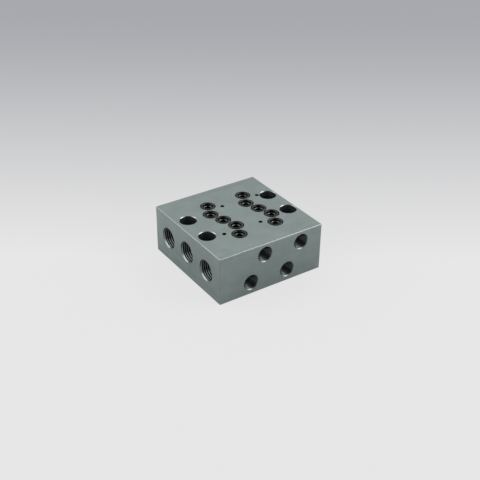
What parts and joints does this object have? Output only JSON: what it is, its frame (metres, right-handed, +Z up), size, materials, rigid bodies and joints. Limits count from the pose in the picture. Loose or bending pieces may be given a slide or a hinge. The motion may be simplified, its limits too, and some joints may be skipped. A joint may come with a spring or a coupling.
{
  "type": "valve manifold base",
  "caption": "Ground steel block that carries directional valves side by side, with O-ring seats on top, tapped ports in its sides and counterbored mounting holes.",
  "frame": {"origin": "centre of the bottom face, which lies on the machine surface", "axes": "+Z up, out of the valve face; -X out of the face with the main ports; -Y out of the face with the work ports"},
  "size_m": [0.07, 0.07, 0.0304],
  "materials": {
    "ground_steel": "ground and phosphated, satin grey with a green cast",
    "seal_rubber": "smooth black nitrile rubber, lightly oiled"
  },
  "bodies": {
    "root": {"manifold_block": "ground_steel", "o_ring_a1": "seal_rubber", "o_ring_a2": "seal_rubber", "o_ring_a3": "seal_rubber", "o_ring_a4": "seal_rubber", "o_ring_a5": "seal_rubber", "o_ring_b1": "seal_rubber", "o_ring_b2": "seal_rubber", "o_ring_b3": "seal_rubber", "o_ring_b4": "seal_rubber", "o_ring_b5": "seal_rubber"}
  },
  "joints": []
}
